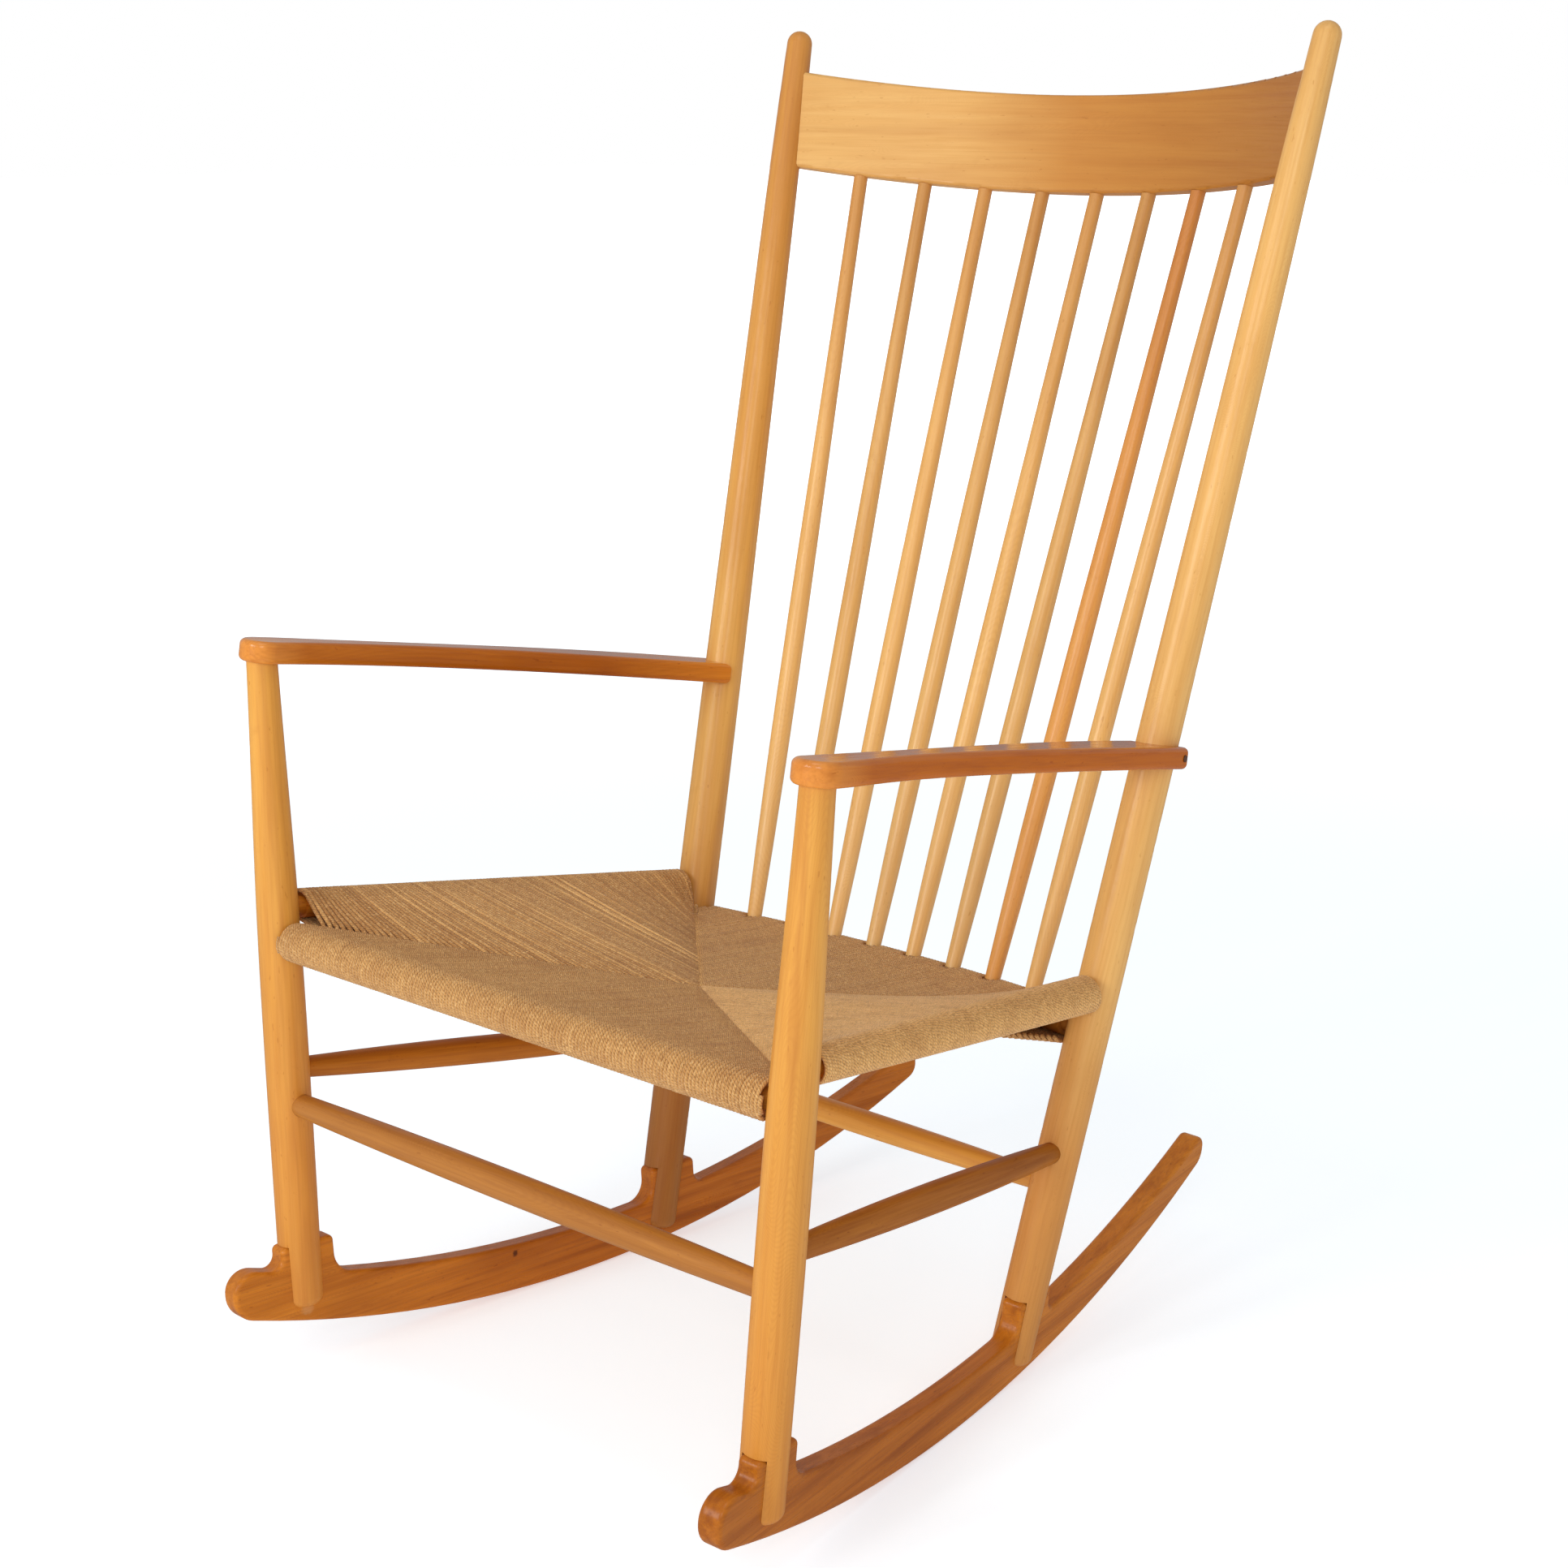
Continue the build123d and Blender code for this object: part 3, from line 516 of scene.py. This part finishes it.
def cord_material():
    """Twisted plies of brown paper, with lighter and darker lengths of cord.

    The UV map gives the metres along a cord and the turns round it, and "tone" how light it is.
    """
    material, tree, surface = new_material("paper_cord")
    length, turns, _ = parts_of(tree, coordinates(tree, UV))
    place = coordinates(tree, OBJECT)
    tone = node(tree, "ShaderNodeAttribute", output=2, attribute_name="tone")

    # Height of a ply's round back, which comes by once for each ply in a twist
    along = maths(tree, "MULTIPLY", length, PLIES / TWIST_LENGTH)
    round_it = maths(tree, "MULTIPLY", turns, float(PLIES))
    strand = maths(tree, "FRACT", maths(tree, "ADD", along, round_it))
    centred = maths(tree, "SUBTRACT", maths(tree, "MULTIPLY", strand, 2.0), 1.0)
    ply = maths(tree, "SQRT", maths(tree, "SUBTRACT", 1.02, maths(tree, "POWER", centred, 2.0)))

    specks = noise(tree, place, SPECK_CELLS, 4.0, 0.75)
    stains = noise(tree, place, STAIN_CELLS, 3.0, 0.6)
    layers = (
        (tone, colour(*CORD_LIGHT)),
        (ramp(tree, specks, 0.5, 0.68, 0.0, 0.55), colour(*SPECK_LIGHT)),
        (ramp(tree, specks, 0.5, 0.34, 0.0, 0.42), colour(*SPECK_DARK)),
        (ramp(tree, stains, 0.45, 0.75, 0.0, 0.3), colour(*CORD_STAIN)),
        # Painted shade in the grooves between the plies
        (ramp(tree, ply, 0.0, 0.85, 0.65, 0.0), colour(*PLY_GROOVE_SHADE)),
    )
    set_input(tree, surface.inputs["Base Color"], layered(tree, colour(*CORD_DARK), layers))
    set_input(tree, surface.inputs["Roughness"], ramp(tree, specks, 0.3, 0.7, 0.62, 0.85))
    surface.inputs["Sheen Weight"].default_value = 0.15
    surface.inputs["Specular IOR Level"].default_value = 0.3
    height = maths(tree, "ADD", ply, maths(tree, "MULTIPLY", specks, 0.25))
    set_input(tree, surface.inputs["Normal"], bump(tree, 0.8, PLY_RELIEF, height))
    return material


# ---- Route of the cord -----------------------------------------------------------------------
CORD_RADIUS = 0.00173
PITCH = 0.00334  # from one cord to the next
UNEVEN_STEP, STEP_LIMITS = 0.02, (0.96, 1.03)

# The four seams between the fields of the seat rise from its middle to the ends of the rails
SEAT_MIDDLE = Vector((0, -0.110, 0.333))
MIDDLE_THICKNESS = 0.024
front_corner, rear_corner = on_leg(FRONT_RAIL), on_post(REAR_RAIL)
side_front, side_rear = leg_to_post(SIDE_RAIL)
rear_rail_radius = bow_radius(rear_corner.x, REAR_RAIL_BOW)

# Radii of the rails under the cord, and how far from a rail's end its first cord lies
FRONT_RAIL_RADIUS, REAR_RAIL_RADIUS = 0.0125, 0.01225
SIDE_RAIL_RADIUS, SIDE_RAIL_SWELL = 0.0105, 0.002
FRONT_MARGIN, REAR_MARGIN, SIDE_MARGIN = 0.0165, 0.018, 0.0215
front_roll, rear_roll = FRONT_RAIL_RADIUS + CORD_RADIUS, REAR_RAIL_RADIUS + CORD_RADIUS
STEEPEST = 0.22  # slope of the side cords below the seat

# Where a cord dips into the upper seam and comes out of the lower one: distance and height
UPPER_DIP = ((-0.0045, -0.0062), (-0.0015, -0.0030))
UPPER_LIP, LOWER_LIP, LOWER_DIP = (0.0012, -0.0006), (0.0012, 0.0006), (-0.0040, 0.0055)
SAG, FULL_SAG_REACH = 0.0016, 0.15

# Tones of the fields, from dark at 0 to light at 1, and how much single cords differ
FRONT_TONE, REAR_TONE, LEFT_TONE, RIGHT_TONE = 0.4, 0.42, 0.7, 0.38
TONE_SPREAD, WORN_TONE_SPREAD = 0.05, 0.11
# Painted shade in the fold along the seams: how much darker the cords are there, in the other
# fields and in the worn one, and how far from the seam it reaches
SEAM_SHADE, WORN_SEAM_SHADE = 0.06, 0.22
SEAM_SHADE_REACH = 0.1

# Share of the worn cords that stand proud, how far, and how much lighter they are
STANDS_OUT, STANDS_OUT_RISE, STANDS_OUT_TONE = 0.2, 0.0006, (0.1, 0.45)

# Share of the other cords that stand proud, how far, and how uneven all of them lie
PROUD, PROUD_RISE, UNEVEN_RISE = 0.04, 0.0004, 0.00012
LIP_RISE = 0.3  # share of its rise that a cord already has at the upper seam

# Points of a cord's path: on its way to the rail, round the rail, and on the way back
OUTWARD_SHARES = np.linspace(0.12, 1.0, 7)[:-1]
ROUND_POINTS = 11
BACK_SHARES = (0.35, 0.7)
CLEAR_OF_SEAM = 0.002


class Cord(NamedTuple):
    """One length of cord, over a rail from the upper seam to the lower one."""

    inner: Vector  # level point on the seam
    outer: Vector  # point on the rail's axis
    roll: float  # from the rail's axis to the cord's
    top: float  # height of the upper seam
    bottom: float  # height of the lower seam
    tone: float
    worn: bool  # the right-hand field is worn, with light and proud cords


def seam(share, corner, roll):
    """Level point, top and bottom of a seam at a share of the way from the middle to a corner."""
    top = (1 - share) * (SEAT_MIDDLE.z - CORD_RADIUS) + share * (corner.z + roll)
    low = SEAT_MIDDLE.z - MIDDLE_THICKNESS + CORD_RADIUS
    bottom = (1 - share) * low + share * (corner.z - roll)
    return SEAT_MIDDLE.lerp(corner, share), top, bottom


def rear_rail_y(x):
    """Place of the bowed rear rail's axis at a distance from the mirror plane."""
    drop = rear_rail_radius - math.sqrt(rear_rail_radius**2 - x**2)
    return rear_corner.y + REAR_RAIL_BOW - drop


def around(outer, roll, reach, degrees):
    """Distance from the seam and height of a cord at an angle round its rail."""
    angle = math.radians(degrees)
    return reach + roll * math.cos(angle), outer.z + roll * math.sin(angle)


def cord_path(cord, raised):
    """A cord's points from the upper seam, over its rail and back to the lower seam."""
    inner, outer, roll, top, bottom = cord[:5]
    outward = Vector((outer.x - inner.x, outer.y - inner.y, 0))
    reach = outward.length
    outward.normalize()
    start_angle = 90 + math.degrees(math.atan2(outer.z + roll - top, reach))
    end_angle = -90 + math.degrees(math.atan2(outer.z - roll - bottom, reach))

    profile = [(distance, top + height) for distance, height in UPPER_DIP]
    profile.append((UPPER_LIP[0], top + UPPER_LIP[1] + raised * LIP_RISE))
    touch = around(outer, roll, reach, start_angle)
    for share in OUTWARD_SHARES:
        hump = math.sin(math.pi * share)
        sag = -SAG * hump * min(1.0, reach / FULL_SAG_REACH)
        if touch[0] * share > CLEAR_OF_SEAM:
            rise = top + (touch[1] - top) * share
            profile.append((touch[0] * share, rise + sag + raised * hump**0.5))
    for degrees in np.linspace(start_angle, end_angle, ROUND_POINTS):
        profile.append(around(outer, roll, reach, degrees))
    leave = profile[-1]
    for share in BACK_SHARES:
        profile.append((leave[0] * (1 - share), leave[1] + (bottom - leave[1]) * share))
    profile += [(distance, bottom + height) for distance, height in (LOWER_LIP, LOWER_DIP)]
    return [Vector((inner.x, inner.y, 0)) + outward * d + Vector((0, 0, z)) for d, z in profile]


def places(low, high):
    """Places of neighbouring cords, a little uneven."""
    count = int((high - low) / PITCH)
    along = np.cumsum(rng.normal(1.0, UNEVEN_STEP, count).clip(*STEP_LIMITS))
    return low + (along - along[0]) / (along[-1] - along[0]) * (high - low)


def end_cords(corner, rail_y, roll, margin, tone):
    """The cords over the front or the rear rail, from right to left."""
    for x in places(-corner.x + margin, corner.x - margin):
        level, top, bottom = seam(abs(x) / corner.x, corner, roll)
        inner, outer = Vector((x, level.y, 0)), Vector((x, rail_y(x), corner.z))
        yield Cord(inner, outer, roll, top, bottom, tone, False)


def side_cords(side, tone):
    """The cords over the right rail, for a side of -1, or the left one, from front to rear."""
    for y in places(side_front.y + SIDE_MARGIN, side_rear.y - SIDE_MARGIN):
        share = (y - side_front.y) / (side_rear.y - side_front.y)
        rail = side_front.lerp(side_rear, share)
        roll = SIDE_RAIL_RADIUS + SIDE_RAIL_SWELL * share + CORD_RADIUS
        in_front = y < SEAT_MIDDLE.y
        corner, corner_roll = (front_corner, front_roll) if in_front else (rear_corner, rear_roll)
        to_corner = (y - SEAT_MIDDLE.y) / (corner.y - SEAT_MIDDLE.y)
        level, top, bottom = seam(to_corner, corner, corner_roll)
        inner, outer = Vector((side * level.x, y, 0)), Vector((side * rail.x, y, rail.z))
        bottom = max(bottom, outer.z - roll - STEEPEST * abs(outer.x - inner.x))
        yield Cord(inner, outer, roll, top, bottom, tone, side < 0)


# ---- Wood that stands in the cord's way ------------------------------------------------------
LEG_CLEARANCE, POST_CLEARANCE, SPINDLE_CLEARANCE = 0.0186, 0.0183, 0.0068
UNDER_SEAT = 0.3  # a height on the legs and posts
BELOW_FOOT = 0.02  # how far an upright still counts below its first point
PRESSED_IN = 0.8  # share of a cord's radius that stays clear of wood
LONGEST_STEP = 0.004
FEWEST_POINTS = 3  # in a stretch of cord that is shown


def spindle_axis(index):
    """Foot and direction of a spindle, counted from the right."""
    step = index - (SPINDLES + 1) / 2
    foot_x, head_x = step * SPINDLE_PITCH_BELOW, step * SPINDLE_PITCH_ABOVE
    foot = Vector((foot_x, rear_rail_y(foot_x), rear_corner.z))
    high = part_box(f"spindle_{index}")[1]
    return foot, (Vector((head_x, high.y, high.z)) - foot).normalized()


# First point, direction and clearance of each upright that stands in the seat
uprights = [
    (on_leg(UNDER_SEAT), (leg[1] - leg[0]).normalized(), LEG_CLEARANCE),
    (on_post(UNDER_SEAT), (post[1] - post[0]).normalized(), POST_CLEARANCE),
]
uprights += [(mirror(point), mirror(axis), clearance) for point, axis, clearance in uprights]
uprights += [(*spindle_axis(index), SPINDLE_CLEARANCE) for index in range(1, SPINDLES + 1)]


def is_blocked(point):
    for start, axis, clearance in uprights:
        offset = point - start
        height = offset.dot(axis)
        aside = (offset - axis * height).length
        if height > -BELOW_FOOT and aside < clearance + CORD_RADIUS * PRESSED_IN:
            return True
    return False


def dense(points):
    """The same line with its points at most a step apart."""
    curve = []
    for first, second in zip(points, points[1:]):
        count = max(1, int((second - first).length / LONGEST_STEP))
        curve += [first.lerp(second, k / count) for k in range(count)]
    return [*curve, points[-1]]


def clipped(points):
    """The stretches of a cord that no wood stands in."""
    stretches, current = [], []
    for point in points:
        if is_blocked(point):
            stretches.append(current)
            current = []
        else:
            current.append(point)
    stretches.append(current)
    return [stretch for stretch in stretches if len(stretch) >= FEWEST_POINTS]


# ---- Mesh of the seat ------------------------------------------------------------------------
SIDES = 7  # of a cord's cross-section
RING = SIDES + 1  # its vertices, where the last is the first again at the UV map's seam
UNEVEN_RADIUS = 0.02
LONGEST_START = 0.05  # random start of the metres along a cord, so that twists don't line up
NEARLY_UPRIGHT = 0.1
vertices, faces, uv_of_vertex, tone_of_vertex = [], [], [], []


def sections(points):
    """Each point of a line with two directions square to the line, which don't twist."""
    side = None
    for k, point in enumerate(points):
        ahead = points[min(k + 1, len(points) - 1)] - points[max(k - 1, 0)]
        ahead.normalize()
        if side is None:
            side = ahead.cross(Vector((0, 0, 1)))
            if side.length < NEARLY_UPRIGHT:
                side = ahead.cross(Vector((0, 1, 0)))
            side.normalize()
        side = (side - ahead * side.dot(ahead)).normalized()
        yield point, side, ahead.cross(side)


def tube(points, tone, inner, seam_shade):
    """Add one length of cord to the mesh, darker by painted shade near its seam, which is at inner.
    """
    base = len(vertices)
    travelled = rng.uniform(0, LONGEST_START)
    radius = CORD_RADIUS * rng.normal(1.0, UNEVEN_RADIUS)
    twist = rng.uniform(0, 1)
    previous = points[0]
    for point, side, other in sections(points):
        travelled += (point - previous).length
        previous = point
        from_seam = math.hypot(point.x - inner.x, point.y - inner.y)
        shown = tone - seam_shade * max(0.0, 1 - from_seam / SEAM_SHADE_REACH)
        for s in range(RING):
            angle = 2 * math.pi * s / SIDES
            offset = side * math.cos(angle) + other * math.sin(angle)
            vertices.append(tuple(point + offset * radius))
            uv_of_vertex.append((travelled, twist + s / SIDES))
            tone_of_vertex.append(min(1.0, max(0.0, shown)))
    last = base + (len(points) - 1) * RING
    for first in range(base, last, RING):
        for a in range(first, first + SIDES):
            faces.append((a, a + 1, a + RING + 1, a + RING))
    faces.append(tuple(reversed(range(base, base + SIDES))))
    faces.append(tuple(range(last, last + SIDES)))


def weave():
    """Lay all cords: front, rear, right and left field."""
    cords = [
        *end_cords(front_corner, lambda x: front_corner.y, front_roll, FRONT_MARGIN, FRONT_TONE),
        *end_cords(rear_corner, rear_rail_y, rear_roll, REAR_MARGIN, REAR_TONE),
        *side_cords(-1, RIGHT_TONE),
        *side_cords(1, LEFT_TONE),
    ]
    for cord in cords:
        tone = cord.tone + rng.normal(0, WORN_TONE_SPREAD if cord.worn else TONE_SPREAD)
        raised = 0.0
        if cord.worn and rng.random() < STANDS_OUT:
            raised = STANDS_OUT_RISE
            tone += rng.uniform(*STANDS_OUT_TONE)
        elif rng.random() < PROUD:
            raised = PROUD_RISE
        raised += rng.normal(0, UNEVEN_RISE)
        for stretch in clipped(dense(cord_path(cord, raised))):
            tube(stretch, tone, cord.inner, WORN_SEAM_SHADE if cord.worn else SEAM_SHADE)


def seat_mesh():
    mesh = bpy.data.meshes.new("woven_cord")
    mesh.from_pydata(vertices, [], faces)
    mesh.update()
    uv_layer = mesh.uv_layers.new(name="cord")
    corners = np.zeros(len(mesh.loops), dtype=np.int64)
    mesh.loops.foreach_get("vertex_index", corners)
    uv_layer.data.foreach_set("uv", np.array(uv_of_vertex, np.float32)[corners].ravel())
    tones = mesh.attributes.new("tone", "FLOAT", "POINT")
    tones.data.foreach_set("value", np.array(tone_of_vertex, np.float32))
    mesh.polygons.foreach_set("use_smooth", np.ones(len(mesh.polygons), bool))
    mesh.materials.append(cord_material())
    return mesh


weave()
seat = bpy.data.objects.new("woven_cord", seat_mesh())
bpy.context.scene.collection.objects.link(seat)
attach(seat, "root")
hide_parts("seat_cord_weave")

# ---- Floor -----------------------------------------------------------------------------------
FLOOR_WIDTH = 60
FLOOR_COLOUR, FLOOR_IN_MIRROR = (0.79, 0.83, 0.86, 1), (0.3, 0.3, 0.3, 1)
# The camera sees a cooler glow, so that the light thrown off the wood leaves its shadow grey
GLOW_COLOUR, GLOW_SEEN = (0.99, 1.0, 1.01, 1), (0.915, 0.975, 1.03, 1)
GLOW, GLOW_LOST_IN_MIRROR = 0.51, -0.42
FAR_GLOW, FAR_GLOW_FROM, FAR_GLOW_TO = 0.6, 1.2, 5.0


def floor_material():
    """A pale matt floor that fades to white far from the chair.

    Polished wood mirrors it darker than it is, as it mirrors the dark end of a studio.
    """
    material, tree, surface = new_material("floor")
    rays = tree.nodes.new("ShaderNodeLightPath").outputs
    from_camera, in_mirror = rays["Is Camera Ray"], rays["Is Glossy Ray"]
    from_chair = vector_maths(tree, "LENGTH", coordinates(tree, OBJECT), output=1)
    far = ramp(tree, from_chair, FAR_GLOW_FROM, FAR_GLOW_TO, 0.0, FAR_GLOW)
    far = maths(tree, "MULTIPLY", far, from_camera)
    base = blend(tree, in_mirror, FLOOR_COLOUR, FLOOR_IN_MIRROR)
    set_input(tree, surface.inputs["Base Color"], base)
    glow_colour = blend(tree, from_camera, GLOW_COLOUR, GLOW_SEEN)
    set_input(tree, surface.inputs["Emission Color"], glow_colour)
    glow = maths(tree, "ADD", maths(tree, "MULTIPLY", in_mirror, GLOW_LOST_IN_MIRROR), GLOW)
    set_input(tree, surface.inputs["Emission Strength"], maths(tree, "ADD", glow, far))
    surface.inputs["Roughness"].default_value = 0.9
    surface.inputs["Specular IOR Level"].default_value = 0.0
    return material


bpy.ops.mesh.primitive_plane_add(size=FLOOR_WIDTH, location=(0, 0, 0))
floor = bpy.context.active_object
floor.name = "floor"
floor.data.materials.append(floor_material())
floor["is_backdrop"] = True

# ---- Light -----------------------------------------------------------------------------------
SKY_STRENGTH, SKY_SEEN = 0.5, 0.5  # what it lights with, and how much brighter the camera sees it

# Name, place, the point it faces, width and height, and power in watts
SOFTBOXES = (
    ("key_left", (-0.7, -3.2, 1.7), (0, 0, 0.45), (0.5, 1.3), 22),
    ("key_right", (0.1, -3.3, 1.7), (0, 0, 0.45), (0.5, 1.3), 16),
    ("near", (1.85, -2.35, 1.75), (0, 0.1, 0.75), (0.9, 1.0), 14),
    ("above", (0.5, -0.9, 3.6), (0, 0.1, 0.4), (1.5, 1.5), 14),
)


def white_sky():
    world = bpy.data.worlds.new("studio")
    bpy.context.scene.world = world
    world.use_nodes = True
    tree = world.node_tree
    tree.nodes.clear()
    rays = tree.nodes.new("ShaderNodeLightPath").outputs
    seen = maths(tree, "MAXIMUM", rays["Is Camera Ray"], rays["Is Transmission Ray"])
    strength = maths(tree, "ADD", maths(tree, "MULTIPLY", seen, SKY_SEEN), SKY_STRENGTH)
    inputs = {"Color": (1, 1, 1, 1), "Strength": strength}
    output = tree.nodes.new("ShaderNodeOutputWorld")
    tree.links.new(node(tree, "ShaderNodeBackground", inputs), output.inputs[0])


def softbox(name, place, target, size, power):
    data = bpy.data.lights.new(name, "AREA")
    data.shape = "RECTANGLE"
    data.size, data.size_y = size
    data.energy = power
    light = bpy.data.objects.new(name, data)
    light.visible_camera = False
    light.location = place
    light.rotation_euler = (Vector(target) - Vector(place)).to_track_quat("-Z", "Y").to_euler()
    bpy.context.scene.collection.objects.link(light)


white_sky()
for row in SOFTBOXES:
    softbox(*row)

# ---- Camera, fitted to the photo's straight lines and edges ----------------------------------
CAMERA_PLACE = (1.3518, -1.5399, 1.0084)
AZIMUTH, ELEVATION, ROLL = math.radians(41.7), math.radians(15.45), math.radians(0.09)
PHOTO_PIXELS = 1932
FOCAL_LENGTH_PIXELS, SHIFT_X_PIXELS, SHIFT_Y_PIXELS = 3225, 13.4, 49.7
SENSOR_WIDTH = 36

lens = bpy.data.cameras.new("camera")
lens.sensor_width = SENSOR_WIDTH
lens.lens = SENSOR_WIDTH * FOCAL_LENGTH_PIXELS / PHOTO_PIXELS
lens.shift_x = SHIFT_X_PIXELS / PHOTO_PIXELS
lens.shift_y = SHIFT_Y_PIXELS / PHOTO_PIXELS
camera = bpy.data.objects.new("camera", lens)
level = math.cos(ELEVATION)
forward = Vector((-math.sin(AZIMUTH) * level, math.cos(AZIMUTH) * level, -math.sin(ELEVATION)))
turned = forward.to_track_quat("-Z", "Y").to_matrix() @ Matrix.Rotation(ROLL, 3, "Z")
camera.location = CAMERA_PLACE
camera.rotation_euler = turned.to_euler()
bpy.context.scene.collection.objects.link(camera)
bpy.context.scene.camera = camera
bpy.context.scene.view_settings.view_transform = "Standard"

[[list(corner) for corner in box] for box in (size_before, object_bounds())]
